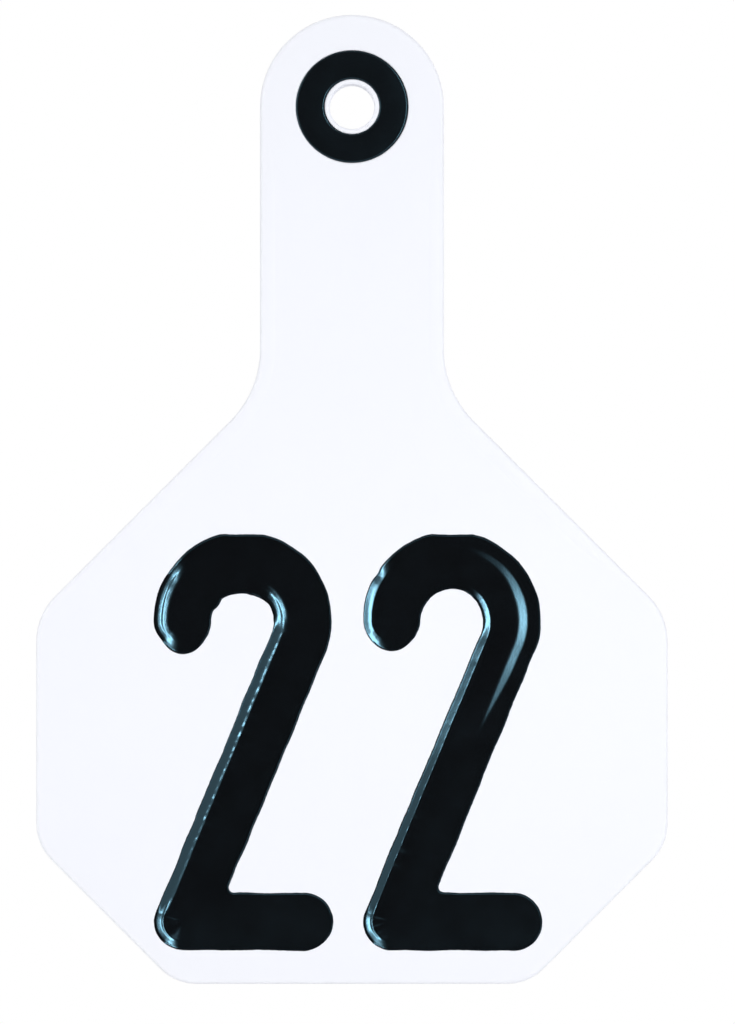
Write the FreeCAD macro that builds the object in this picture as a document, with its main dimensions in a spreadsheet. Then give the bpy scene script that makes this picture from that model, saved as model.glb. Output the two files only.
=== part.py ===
import FreeCAD
import Part
import math
import os
import Sketcher

# A livestock ear tag: the flat panel half of a two-piece tag.
#
# The tag hangs as it does below the ear: +Z up its neck, -Y out of the face with the
# numerals, +Y towards the ear. The origin is on the axis of the stud bore, in the plane of
# the panel's flat back. Every length is in millimetres and every angle in degrees.

# Driving dimensions: each is written once here, and the sheet holds them under these names.
SIZES = {
    # outline of the panel
    "panel_width": 76.2,
    "neck_width": 22.2,
    "neck_length": 34.3,
    "side_height": 27.7,
    "corner_cut": 16.8,
    "armpit_radius": 12.2,
    "shoulder_radius": 7.8,
    "side_radius": 6.2,
    "foot_radius": 6.0,
    # thickness, rounded rim and the stiffening bead on the neck and the shoulders
    "panel_thickness": 1.6,
    "edge_round": 0.45,
    "bead_width": 1.5,
    "bead_height": 0.2,
    "bead_start": 2.0,
    "bead_gap": 0.8,
    "bead_fade": 9.0,
    # hub: the bore for the stud, the collar round it and the boss behind it
    "bore_diameter": 5.4,
    "bore_round": 0.3,
    "collar_wall": 0.6,
    "hub_floor": 1.6,
    "hub_rim": 1.2,
    "hub_round": 0.6,
    # hard ring let into the front of the hub
    "ring_width": 3.45,
    "ring_thickness": 2.0,
    "ring_proud": 0.12,
    "ring_round": 0.25,
    "ring_clearance": 0.02,
    # numerals: one stroke each, hot-stamped into the panel
    "numeral_height": 50.1,
    "numeral_pitch": 25.2,
    "numeral_shift": -0.5,
    "numeral_margin": 4.1,
    "stroke_width": 6.86,
    "bowl_radius": 7.25,
    "bowl_flat": 0.3,
    "leg_slant": 22.5,
    "foot_reach": 7.4,
    "notch_radius": 0.7,
    "stamp_depth": 0.6,
    "dish_depth": 0.35,
    "rim_width": 0.12,
    "lip_width": 1.1,
}

SHEET = "Sizes"
PARTS_FOLDER = "parts"


class Size:
    """A length that carries both its number and the sheet expression it comes from."""

    def __init__(self, value, text):
        self.value = value
        self.text = text

    @staticmethod
    def of(other):
        if isinstance(other, Size):
            return other
        return Size(float(other), repr(float(other)))

    def __add__(self, other):
        other = Size.of(other)
        return Size(self.value + other.value, f"({self.text} + {other.text})")

    def __sub__(self, other):
        other = Size.of(other)
        return Size(self.value - other.value, f"({self.text} - {other.text})")

    def __mul__(self, other):
        other = Size.of(other)
        return Size(self.value * other.value, f"({self.text} * {other.text})")

    def __truediv__(self, other):
        other = Size.of(other)
        return Size(self.value / other.value, f"({self.text} / {other.text})")

    def __neg__(self):
        return Size(-self.value, f"(0 - {self.text})")


ZERO = Size.of(0)


def smaller(first, second):
    """The smaller of two sizes, so that a rounding never outgrows its wall."""
    first, second = Size.of(first), Size.of(second)
    return Size(min(first.value, second.value), f"min({first.text}; {second.text})")


def make_sheet(doc):
    """Write the driving dimensions into the sheet, one row and one alias each."""
    sheet = doc.addObject("Spreadsheet::Sheet", SHEET)
    for row, (alias, number) in enumerate(SIZES.items(), start=1):
        sheet.set(f"A{row}", alias)
        sheet.set(f"B{row}", str(number))
        sheet.setAlias(f"B{row}", alias)
    doc.recompute()
    return sheet


doc = FreeCAD.newDocument("ear_tag")
sheet = make_sheet(doc)
size = {alias: Size(float(sheet.get(alias)), f"{SHEET}.{alias}") for alias in SIZES}

# Places that several pieces share.
half_panel = size["panel_width"] / 2
half_neck = size["neck_width"] / 2
shoulder_drop = half_panel - half_neck                      # the shoulders slope at 45 degrees
shoulder_z = -(size["neck_length"] + shoulder_drop)
side_foot_z = shoulder_z - size["side_height"]
bottom_z = side_foot_z - size["corner_cut"]
front_y = size["panel_thickness"]                           # how far the face stands off the back
shoulder_bend = size["shoulder_radius"] * (1 - math.sqrt(0.5))
bead_top_z = -size["bead_start"]
bead_foot_z = shoulder_z + shoulder_bend + size["bead_gap"]

bore_radius = size["bore_diameter"] / 2
ring_inner = bore_radius + size["collar_wall"] + size["ring_clearance"]
ring_outer = ring_inner + size["ring_width"]
ring_seat = size["ring_thickness"] - size["ring_proud"]
boss_radius = ring_outer + size["ring_clearance"] + size["hub_rim"]
boss_height = ring_seat + size["hub_floor"] - size["panel_thickness"]

half_stroke = size["stroke_width"] / 2
bowl_outer = size["bowl_radius"] + half_stroke
numeral_width = bowl_outer + size["foot_reach"] + half_stroke
numeral_left = size["numeral_shift"] - (size["numeral_pitch"] + numeral_width) / 2
numeral_bottom = bottom_z + size["numeral_margin"]


# ---------------------------------------------------------------- drawing helpers

def bind(feature, prop, length):
    """Tie one property of a feature to a sheet expression."""
    feature.setExpression(prop, length.text)


def new_body(name):
    """One piece: a body whose Label is also the name of its file."""
    body = doc.addObject("PartDesign::Body", name)
    body.Label = name
    return body


def new_sketch(body, name, plane, offset=None):
    """A sketch on one of the body's own origin planes, moved along that plane's normal."""
    sketch = body.newObject("Sketcher::SketchObject", name)
    support = [item for item in body.Origin.OriginFeatures if item.Role == plane][0]
    sketch.AttachmentSupport = [(support, "")]
    sketch.MapMode = "FlatFace"
    if offset is not None:
        bind(sketch, "AttachmentOffset.Base.z", offset)
    return sketch


def dimension(sketch, kind, where, length, name):
    """Add one dimension to a sketch and bind it to the sheet."""
    value = math.radians(length.value) if kind == "Angle" else length.value
    index = sketch.addConstraint(Sketcher.Constraint(kind, *where, value))
    sketch.renameConstraint(index, name)
    bind(sketch, f".Constraints.{name}", length)


def place_point(sketch, geometry, point, x, z, name):
    """Dimension one point of a sketch from the sketch's origin."""
    origin = (-1, 1)
    dimension(sketch, "DistanceX", (*origin, geometry, point), x, name + "_x")
    dimension(sketch, "DistanceY", (*origin, geometry, point), z, name + "_z")


def draw_polygon(sketch, corners):
    """A closed run of straight lines with every corner dimensioned."""
    points = [FreeCAD.Vector(x.value, z.value, 0) for x, z in corners]
    count = len(points)
    for index in range(count):
        sketch.addGeometry(Part.LineSegment(points[index], points[(index + 1) % count]))
    for index in range(count):
        following = (index + 1) % count
        sketch.addConstraint(Sketcher.Constraint("Coincident", index, 2, following, 1))
    for index, (x, z) in enumerate(corners):
        place_point(sketch, index, 1, x, z, f"corner_{index}")


def draw_circle(sketch, radius, name):
    """A circle about the sketch's origin."""
    circle = Part.Circle(FreeCAD.Vector(0, 0, 0), FreeCAD.Vector(0, 0, 1), radius.value)
    index = sketch.addGeometry(circle)
    sketch.addConstraint(Sketcher.Constraint("Coincident", index, 3, -1, 1))
    dimension(sketch, "Radius", (index,), radius, name)


def add_feature(body, kind, name, base, **bound):
    """A Pad, Pocket or dress-up feature whose sizes are bound to the sheet."""
    feature = body.newObject(kind, name)
    if isinstance(base, tuple):
        feature.Base = base
    else:
        feature.Profile = base
    for prop, length in bound.items():
        bind(feature, prop, length)
    doc.recompute()
    if feature.Shape.isNull() or not feature.isValid():
        raise RuntimeError(f"{name} failed: {feature.getStatusString()}")
    return feature


def require_volume(feature, before, grows):
    """Stop if a feature has not added or taken away material as it should."""
    change = feature.Shape.Volume - before
    if (change > 0) != grows or abs(change) < 1e-6:
        raise RuntimeError(f"{feature.Name} changed the volume by {change:.6f} mm3")


def pad(body, name, sketch, length, reverse=False):
    """Add the sketch's area along its normal, or against it."""
    before = body.Shape.Volume if body.Tip else 0.0
    feature = add_feature(body, "PartDesign::Pad", name, sketch, Length=length)
    feature.Reversed = reverse
    doc.recompute()
    require_volume(feature, before, True)
    return feature


def pocket(body, name, sketch, length):
    """Cut the sketch's area into the body, against the sketch's normal."""
    before = body.Shape.Volume
    feature = add_feature(body, "PartDesign::Pocket", name, sketch, Length=length)
    require_volume(feature, before, False)
    return feature


def through_cut(body, name, sketch):
    """Cut the sketch's area right through the body, both ways."""
    before = body.Shape.Volume
    feature = body.newObject("PartDesign::Pocket", name)
    feature.Profile = sketch
    feature.Type = "ThroughAll"
    feature.Midplane = True
    doc.recompute()
    require_volume(feature, before, False)
    return feature


def fillet(body, name, wanted, radius):
    """Round the edges of the body's tip that pass a test."""
    tip = body.Tip
    names = [f"Edge{i}" for i, edge in enumerate(tip.Shape.Edges, start=1) if wanted(edge)]
    if not names:
        raise RuntimeError(f"{name} found no edge to round")
    return add_feature(body, "PartDesign::Fillet", name, (tip, names), Radius=radius)


# ---------------------------------------------------------------- ways to pick edges

NEAR = 1e-4


def samples(edge):
    """Five points along an edge, its ends among them."""
    steps = 4
    span = edge.LastParameter - edge.FirstParameter
    return [edge.valueAt(edge.FirstParameter + span * step / steps) for step in range(steps + 1)]


def corner_at(x, z):
    """Edges square to the face that stand at one corner of the outline or its mirror."""
    def test(edge):
        return all(
            abs(abs(point.x) - x.value) < NEAR and abs(point.z - z.value) < NEAR
            for point in samples(edge)
        )
    return test


def in_plane(y):
    """Edges that lie in one plane parallel to the face."""
    def test(edge):
        return all(abs(point.y - y.value) < NEAR for point in samples(edge))
    return test


def circle_in_plane(y, radius):
    """Edges in such a plane that run round the bore at one radius."""
    flat = in_plane(y)

    def test(edge):
        return flat(edge) and all(
            abs(math.hypot(point.x, point.z) - radius.value) < NEAR for point in samples(edge)
        )
    return test


# ---------------------------------------------------------------- numerals

def draw_two(sketch, left, bottom, inset):
    """The outline of a 2: a stroke of even width along a bowl, a slanted leg and a foot.

    The stroke's ends and its lower left corner are round, and the bowl is a little flat on
    top. inset draws the same outline that much further in.
    """
    half = half_stroke - inset
    bowl_x = left + bowl_outer
    bowl_z = bottom + size["numeral_height"] + size["bowl_flat"] - bowl_outer
    inner = size["bowl_radius"] - half
    outer = size["bowl_radius"] + half
    foot_x = bowl_x + size["foot_reach"]
    foot_z = bottom + half_stroke
    top_z = bottom + size["numeral_height"] - inset
    notch = size["notch_radius"] + inset

    slant = math.radians(size["leg_slant"].value)
    along = FreeCAD.Vector(math.sin(slant), math.cos(slant), 0)
    across = FreeCAD.Vector(math.cos(slant), -math.sin(slant), 0)
    up = FreeCAD.Vector(0, 1, 0)
    bowl = FreeCAD.Vector(bowl_x.value, bowl_z.value, 0)
    hook = bowl - FreeCAD.Vector(size["bowl_radius"].value, 0, 0)
    leg_start = bowl + across * size["bowl_radius"].value
    leg_run = (leg_start.y - foot_z.value) / math.cos(slant)
    heel = leg_start - along * leg_run
    toe = FreeCAD.Vector(foot_x.value, foot_z.value, 0)
    corner = heel + across * half.value
    corner = corner + along * (half.value * (1 + math.sin(slant)) / math.cos(slant))
    tangent = notch.value / math.tan((math.pi / 2 - slant) / 2)
    notch_centre = corner + FreeCAD.Vector(tangent, notch.value, 0)
    flat_angle = math.asin((top_z.value - bowl_z.value) / outer.value)
    flat_half = outer.value * math.cos(flat_angle)

    def arc(centre, radius, start, end):
        circle = Part.Circle(centre, FreeCAD.Vector(0, 0, 1), radius.value)
        return sketch.addGeometry(Part.ArcOfCircle(circle, start, end))

    def line(start, end):
        return sketch.addGeometry(Part.LineSegment(start, end))

    half_turn = math.pi
    quarter = math.pi / 2
    hook_end = arc(hook, half, half_turn, 2 * half_turn)
    bowl_in = arc(bowl, inner, -slant, half_turn)
    leg_in = line(bowl + across * inner.value, heel - across * half.value)
    heel_round = arc(heel, half, half_turn - slant, 3 * quarter)
    sole = line(heel - up * half.value, toe - up * half.value)
    toe_round = arc(toe, half, -quarter, quarter)
    foot_top = line(toe + up * half.value, corner + FreeCAD.Vector(tangent, 0, 0))
    notch_round = arc(notch_centre, notch, half_turn - slant, 3 * quarter)
    leg_out = line(corner + along * tangent, bowl + across * outer.value)
    bowl_right = arc(bowl, outer, -slant, flat_angle)
    flat_z = FreeCAD.Vector(0, top_z.value - bowl_z.value, 0)
    flat_x = FreeCAD.Vector(flat_half, 0, 0)
    flat_top = line(bowl + flat_z + flat_x, bowl + flat_z - flat_x)
    bowl_left = arc(bowl, outer, half_turn - flat_angle, half_turn)

    start, end, centre = 1, 2, 3
    joints = [
        ("Tangent", hook_end, end, bowl_in, end),
        ("Tangent", bowl_in, start, leg_in, start),
        ("Tangent", leg_in, end, heel_round, start),
        ("Tangent", heel_round, end, sole, start),
        ("Tangent", sole, end, toe_round, start),
        ("Tangent", toe_round, end, foot_top, start),
        ("Tangent", foot_top, end, notch_round, end),
        ("Tangent", notch_round, start, leg_out, start),
        ("Tangent", leg_out, end, bowl_right, start),
        ("Coincident", bowl_right, end, flat_top, start),
        ("Coincident", flat_top, end, bowl_left, start),
        ("Tangent", bowl_left, end, hook_end, start),
        ("Coincident", bowl_in, centre, bowl_right, centre),
        ("Coincident", bowl_in, centre, bowl_left, centre),
        ("Horizontal", hook_end, centre, bowl_in, centre),
        ("Horizontal", sole),
        ("Horizontal", foot_top),
        ("Horizontal", flat_top),
        ("Parallel", leg_in, leg_out),
        ("Equal", bowl_right, bowl_left),
        ("Equal", heel_round, toe_round),
    ]
    for joint in joints:
        sketch.addConstraint(Sketcher.Constraint(*joint))
    place_point(sketch, bowl_in, centre, bowl_x, bowl_z, "bowl")
    place_point(sketch, toe_round, centre, foot_x, foot_z, "toe")
    dimension(sketch, "DistanceY", (-1, 1, flat_top, start), top_z, "top_z")
    dimension(sketch, "Radius", (bowl_in,), inner, "bowl_inner")
    dimension(sketch, "Radius", (bowl_right,), outer, "bowl_outer")
    dimension(sketch, "Radius", (heel_round,), half, "half_stroke")
    dimension(sketch, "Radius", (notch_round,), notch, "notch")
    dimension(sketch, "Angle", (leg_out,), -(size["leg_slant"] - 90), "leg_rise")


def make_numeral(name, left):
    """One black numeral: it fills its stamped recess, and its face is pressed in like a dish."""
    body = new_body(name)
    outline = new_sketch(body, name + "_outline", "XZ_Plane")
    draw_two(outline, ZERO, ZERO, ZERO)
    plate = pad(body, name + "_plate", outline, size["stamp_depth"])

    rim = new_sketch(body, name + "_rim", "XZ_Plane", size["stamp_depth"])
    draw_two(rim, ZERO, ZERO, size["rim_width"])
    floor = new_sketch(body, name + "_floor", "XZ_Plane", size["stamp_depth"] - size["dish_depth"])
    draw_two(floor, ZERO, ZERO, size["lip_width"])
    dish = body.newObject("PartDesign::SubtractiveLoft", name + "_dish")
    dish.Profile = rim
    dish.Sections = [floor]
    dish.Ruled = True
    doc.recompute()
    require_volume(dish, plate.Shape.Volume, False)

    bind(body, "Placement.Base.x", left)
    bind(body, "Placement.Base.y", size["stamp_depth"] - front_y)
    bind(body, "Placement.Base.z", numeral_bottom)
    return body


# ---------------------------------------------------------------- hard ring in the hub

def make_ring():
    """A flat hard-plastic washer with a softly rounded face."""
    body = new_body("hub_ring")
    section = new_sketch(body, "ring_section", "XZ_Plane")
    draw_circle(section, ring_outer, "outer")
    draw_circle(section, ring_inner, "inner")
    pad(body, "ring_blank", section, size["ring_thickness"])
    front = in_plane(-size["ring_thickness"])
    fillet(body, "ring_face_round", front, size["ring_round"])
    bind(body, "Placement.Base.y", ring_seat - front_y)
    return body


# ---------------------------------------------------------------- the panel moulding

def mirrored(right_side):
    """Corners of the right half from top to bottom, then the same ones up the left side."""
    return right_side + [(-x, z) for x, z in reversed(right_side)]


def draw_outline(sketch):
    """Outline with sharp corners, closed across the top by a half circle about the bore."""
    right_side = [
        (half_neck, ZERO),
        (half_neck, -size["neck_length"]),
        (half_panel, shoulder_z),
        (half_panel, side_foot_z),
        (half_panel - size["corner_cut"], bottom_z),
    ]
    corners = mirrored(right_side)
    points = [FreeCAD.Vector(x.value, z.value, 0) for x, z in corners]
    for first, second in zip(points, points[1:]):
        sketch.addGeometry(Part.LineSegment(first, second))
    circle = Part.Circle(FreeCAD.Vector(0, 0, 0), FreeCAD.Vector(0, 0, 1), half_neck.value)
    crown = sketch.addGeometry(Part.ArcOfCircle(circle, 0, math.pi))
    last = len(points) - 2
    for index in range(last):
        sketch.addConstraint(Sketcher.Constraint("Coincident", index, 2, index + 1, 1))
    sketch.addConstraint(Sketcher.Constraint("Coincident", crown, 1, 0, 1))
    sketch.addConstraint(Sketcher.Constraint("Coincident", crown, 2, last, 2))
    sketch.addConstraint(Sketcher.Constraint("Coincident", crown, 3, -1, 1))
    dimension(sketch, "Radius", (crown,), half_neck, "crown")
    sketch.addConstraint(Sketcher.Constraint("PointOnObject", 0, 1, -1))
    sketch.addConstraint(Sketcher.Constraint("PointOnObject", last, 2, -1))
    for index, (x, z) in enumerate(corners[1:-1]):
        place_point(sketch, index, 2, x, z, f"corner_{index}")


def draw_bead_path(sketch):
    """Middle line of the right-hand bead: down the neck, round the armpit, along the shoulder."""
    inset = size["edge_round"] + size["bead_width"] / 2
    bend_x = half_neck + size["armpit_radius"]
    bend_z = size["armpit_radius"] * math.tan(math.pi / 8) - size["neck_length"]
    path_x = half_neck - inset
    radius = bend_x.value - path_x.value
    bend = FreeCAD.Vector(bend_x.value, bend_z.value, 0)
    neck_top = FreeCAD.Vector(path_x.value, bead_top_z.value, 0)
    neck_foot = bend - FreeCAD.Vector(radius, 0, 0)
    turn = 5 * math.pi / 4
    shoulder_top = bend + FreeCAD.Vector(math.cos(turn), math.sin(turn), 0) * radius
    run = shoulder_top.y - bead_foot_z.value
    shoulder_foot = shoulder_top + FreeCAD.Vector(run, -run, 0)

    down = sketch.addGeometry(Part.LineSegment(neck_top, neck_foot))
    circle = Part.Circle(bend, FreeCAD.Vector(0, 0, 1), radius)
    round_bend = sketch.addGeometry(Part.ArcOfCircle(circle, math.pi, turn))
    out = sketch.addGeometry(Part.LineSegment(shoulder_top, shoulder_foot))
    sketch.addConstraint(Sketcher.Constraint("Tangent", down, 2, round_bend, 1))
    sketch.addConstraint(Sketcher.Constraint("Tangent", round_bend, 2, out, 1))
    sketch.addConstraint(Sketcher.Constraint("Vertical", down))
    place_point(sketch, down, 1, path_x, bead_top_z, "start")
    place_point(sketch, round_bend, 3, bend_x, bend_z, "bend")
    dimension(sketch, "DistanceY", (-1, 1, out, 2), bead_foot_z, "foot_z")
    dimension(sketch, "Angle", (out,), Size.of(-45), "slope")


def draw_bead_section(sketch):
    """Section of the bead: a low round crown on a root that reaches into the panel."""
    width = size["bead_width"]
    height = size["bead_height"]
    outer_x = half_neck - size["edge_round"]
    inner_x = outer_x - width
    corners = [
        (inner_x, -front_y),
        (inner_x, height - front_y),
        (outer_x, height - front_y),
        (outer_x, -front_y),
    ]
    points = [FreeCAD.Vector(x.value, y.value, 0) for x, y in corners]
    crest = (points[0] + points[3]) / 2 - FreeCAD.Vector(0, height.value, 0)
    for first, second in zip(points, points[1:]):
        sketch.addGeometry(Part.LineSegment(first, second))
    crown = sketch.addGeometry(Part.Arc(points[0], crest, points[3]))
    for index in range(2):
        sketch.addConstraint(Sketcher.Constraint("Coincident", index, 2, index + 1, 1))
    sketch.addConstraint(Sketcher.Constraint("Coincident", crown, 1, 0, 1))
    sketch.addConstraint(Sketcher.Constraint("Coincident", crown, 2, 2, 2))
    for index, (x, y) in enumerate(corners[:3]):
        place_point(sketch, index, 1, x, y, f"corner_{index}")
    place_point(sketch, 2, 2, *corners[3], "corner_3")
    dimension(sketch, "Radius", (crown,), (width * width / 4 + height * height) / (height * 2), "crown")


def draw_fade(sketch, thin_z, full_z, past_z):
    """Side view of what is planed off a bead, from its full height down to nothing."""
    beyond = front_y + size["bead_height"] * 2
    corners = [
        (-front_y, thin_z),
        (-front_y, past_z),
        (-beyond, past_z),
        (-beyond, full_z),
        (-(front_y + size["bead_height"]), full_z),
    ]
    draw_polygon(sketch, corners)


def make_panel():
    """The white moulding: panel, neck and hub in one piece."""
    body = new_body("tag_panel")
    outline = new_sketch(body, "panel_outline", "XZ_Plane")
    draw_outline(outline)
    pad(body, "panel_blank", outline, size["panel_thickness"])
    armpit = corner_at(half_neck, -size["neck_length"])
    fillet(body, "armpits", armpit, size["armpit_radius"])
    fillet(body, "shoulders", corner_at(half_panel, shoulder_z), size["shoulder_radius"])
    fillet(body, "sides", corner_at(half_panel, side_foot_z), size["side_radius"])
    foot = corner_at(half_panel - size["corner_cut"], bottom_z)
    fillet(body, "feet", foot, size["foot_radius"])
    edge_round = smaller(size["edge_round"], size["panel_thickness"] * 0.45)
    fillet(body, "front_rim", in_plane(-front_y), edge_round)
    fillet(body, "back_rim", in_plane(ZERO), edge_round)

    path = new_sketch(body, "bead_path", "XZ_Plane", front_y)
    draw_bead_path(path)
    section = new_sketch(body, "bead_section", "XY_Plane", bead_top_z)
    draw_bead_section(section)
    doc.recompute()
    before = body.Shape.Volume
    bead = body.newObject("PartDesign::AdditivePipe", "bead")
    bead.Profile = section
    bead.Spine = path
    doc.recompute()
    require_volume(bead, before, True)
    before = bead.Shape.Volume
    beads = body.newObject("PartDesign::Mirrored", "beads")
    beads.Originals = [bead]
    beads.MirrorPlane = (outline, ["V_Axis"])
    body.Tip = beads
    doc.recompute()
    require_volume(beads, before, True)

    fade = size["bead_fade"]
    upper = new_sketch(body, "upper_fade_side", "YZ_Plane")
    draw_fade(upper, bead_top_z, bead_top_z - fade, bead_top_z + size["bead_width"])
    through_cut(body, "upper_fade", upper)
    lower = new_sketch(body, "lower_fade_side", "YZ_Plane")
    draw_fade(lower, bead_foot_z, bead_foot_z + fade, bead_foot_z - size["bead_width"])
    through_cut(body, "lower_fade", lower)

    boss = new_sketch(body, "boss_circle", "XZ_Plane")
    draw_circle(boss, boss_radius, "boss")
    pad(body, "boss", boss, boss_height, reverse=True)
    fillet(body, "boss_round", in_plane(boss_height), size["hub_round"])
    fillet(body, "boss_root", circle_in_plane(ZERO, boss_radius), size["hub_round"])
    seat = new_sketch(body, "ring_seat_circles", "XZ_Plane", front_y)
    draw_circle(seat, ring_outer + size["ring_clearance"], "seat_outer")
    draw_circle(seat, ring_inner - size["ring_clearance"], "seat_inner")
    pocket(body, "ring_seat", seat, ring_seat)
    bore = new_sketch(body, "bore_circle", "XZ_Plane")
    draw_circle(bore, bore_radius, "bore")
    through_cut(body, "stud_bore", bore)
    bore_round = smaller(size["bore_round"], size["collar_wall"] * 0.6)
    fillet(body, "bore_mouth", circle_in_plane(-front_y, bore_radius), bore_round)
    fillet(body, "bore_back", circle_in_plane(boss_height, bore_radius), bore_round)

    stamp = new_sketch(body, "stamp_outline", "XZ_Plane", front_y)
    draw_two(stamp, numeral_left, numeral_bottom, ZERO)
    recess = pocket(body, "stamp_recess", stamp, size["stamp_depth"])
    before = recess.Shape.Volume
    pair = body.newObject("PartDesign::LinearPattern", "stamp_recesses")
    pair.Originals = [recess]
    pair.Direction = (stamp, ["H_Axis"])
    pair.Occurrences = 2
    bind(pair, "Length", size["numeral_pitch"])
    body.Tip = pair
    doc.recompute()
    require_volume(pair, before, False)
    return body


def check(pieces):
    """Stop unless every object is up to date and every piece is one valid solid."""
    for item in doc.Objects:
        if "Invalid" in item.State or "Error" in item.State:
            raise RuntimeError(f"{item.Name} is {item.State}")
    for piece in pieces:
        shape = piece.Shape
        if shape.isNull() or not shape.isValid() or len(shape.Solids) != 1:
            raise RuntimeError(f"{piece.Label} is not one valid solid")


pieces = [
    make_panel(),
    make_ring(),
    make_numeral("numeral_left", numeral_left),
    make_numeral("numeral_right", numeral_left + size["numeral_pitch"]),
]
doc.recompute()
check(pieces)
os.makedirs(PARTS_FOLDER, exist_ok=True)
for piece in pieces:
    piece.Shape.exportStep(f"{PARTS_FOLDER}/{piece.Label}.step")
    box = piece.Shape.optimalBoundingBox()
    print(f"{piece.Label}: {piece.Shape.Volume:.2f} mm3, {len(piece.Shape.Faces)} faces,",
          f"x {box.XMin:.2f} to {box.XMax:.2f},",
          f"y {box.YMin:.2f} to {box.YMax:.2f},",
          f"z {box.ZMin:.2f} to {box.ZMax:.2f}")
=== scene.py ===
# %% [markdown]
# # A livestock ear tag, dressed for its picture
# The frame holds four solids: a white panel that is moulded in one piece with its neck and hub,
# a black ring let into the hub, and two black numerals stamped into the panel. This lesson
# makes each of them again with the soft edges and small flaws that moulded and hot-stamped
# plastic has. It goes piece by piece: what the piece is, how it could be made, and why this
# way was chosen. Lengths are in metres, written in millimetres times MM, but for the insets
# and depths of a numeral's lip, which stay in plain millimetres.

# %% Load the frame
import math

import bpy
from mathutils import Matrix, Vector, noise
from mathutils.geometry import delaunay_2d_cdt


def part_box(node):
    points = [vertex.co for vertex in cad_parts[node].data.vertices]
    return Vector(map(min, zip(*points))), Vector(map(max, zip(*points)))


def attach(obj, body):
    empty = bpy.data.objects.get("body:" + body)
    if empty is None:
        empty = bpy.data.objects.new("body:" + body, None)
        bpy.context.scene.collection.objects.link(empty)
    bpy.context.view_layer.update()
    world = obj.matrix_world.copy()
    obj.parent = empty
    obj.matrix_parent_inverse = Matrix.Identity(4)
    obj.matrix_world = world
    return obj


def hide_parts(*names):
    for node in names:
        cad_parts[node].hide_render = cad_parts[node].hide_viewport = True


MM = 0.001
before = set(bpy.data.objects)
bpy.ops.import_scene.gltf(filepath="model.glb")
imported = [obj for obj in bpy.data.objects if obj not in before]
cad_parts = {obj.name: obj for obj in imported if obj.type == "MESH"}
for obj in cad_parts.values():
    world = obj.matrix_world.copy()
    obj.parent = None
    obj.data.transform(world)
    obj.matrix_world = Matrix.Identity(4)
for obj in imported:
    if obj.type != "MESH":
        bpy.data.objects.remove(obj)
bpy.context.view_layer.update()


# %% [markdown]
# ## Places taken from the frame
# Each piece goes where its solid is, so the places come from the boxes of the solids. The
# panel's own outline is a rule: a half circle over a straight neck, shoulders at 45 degrees,
# and cut corners at the foot. The boxes give its width and its ends, and the few sizes that a
# box can't show are written here.

# %% Measure the solids
panel_low, panel_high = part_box("tag_panel")
ring_low, ring_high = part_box("hub_ring")
numeral_boxes = {name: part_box(name) for name in ("numeral_left", "numeral_right")}

half_panel = panel_high.x
half_neck = panel_high.z
bottom_z = panel_low.z
bead_height = 0.2 * MM
face_y = panel_low.y + bead_height
boss_y = panel_high.y
print("half width", round(half_panel / MM, 2), "half neck", round(half_neck / MM, 2))
print("face at y", round(face_y / MM, 2), "boss ends at y", round(boss_y / MM, 2))


# %% [markdown]
# ## Camera
# The tag is seen square on, so that its outline is not foreshortened at all. A long lens held
# well back does that: a short one would show the walls of the bore. The camera looks along +Y
# at a point a little below the middle of the tag and to the right of it.

# %% Set up the camera
LENS = 200
SENSOR = 36
VIEW_HEIGHT = 123.46 * MM
VIEW_X = 1.87 * MM
VIEW_Z = -48.88 * MM
view_middle = Vector((VIEW_X, face_y, VIEW_Z))
camera_distance = VIEW_HEIGHT * LENS / SENSOR

camera_data = bpy.data.cameras.new("camera")
camera_data.lens = LENS
camera_data.sensor_width = SENSOR
camera_data.clip_start = 0.01
camera_data.clip_end = 20
camera = bpy.data.objects.new("camera", camera_data)
camera.location = view_middle - Vector((0, camera_distance, 0))
camera.rotation_euler = (math.radians(90), 0, 0)
bpy.context.scene.collection.objects.link(camera)
bpy.context.scene.camera = camera
bpy.context.scene.view_settings.view_transform = "Standard"
print("camera stands", round(camera_distance, 3), "m back")


# %% [markdown]
# ## Shader maths
# A material is easier to read as a sum than as a heap of nodes. Wire wraps one socket, so that
# ordinary Python maths on it adds the Math nodes. Bench is the tree they are added to, and its
# one method, add, makes any other kind of node: settings first, then its sockets.

# %% A wire and a bench
class Wire:
    """One number that comes out of a socket."""

    def __init__(self, bench, socket):
        self.bench = bench
        self.socket = socket

    def maths(self, operation, first, second):
        node = self.bench.add("ShaderNodeMath", {"operation": operation},
                              {"Value": first, "Value_001": second})
        return Wire(self.bench, node.outputs[0])

    def __add__(self, other):
        return self.maths("ADD", self, other)

    def __radd__(self, other):
        return self.maths("ADD", other, self)

    def __sub__(self, other):
        return self.maths("SUBTRACT", self, other)

    def __rsub__(self, other):
        return self.maths("SUBTRACT", other, self)

    def __mul__(self, other):
        return self.maths("MULTIPLY", self, other)

    def __rmul__(self, other):
        return self.maths("MULTIPLY", other, self)


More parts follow.
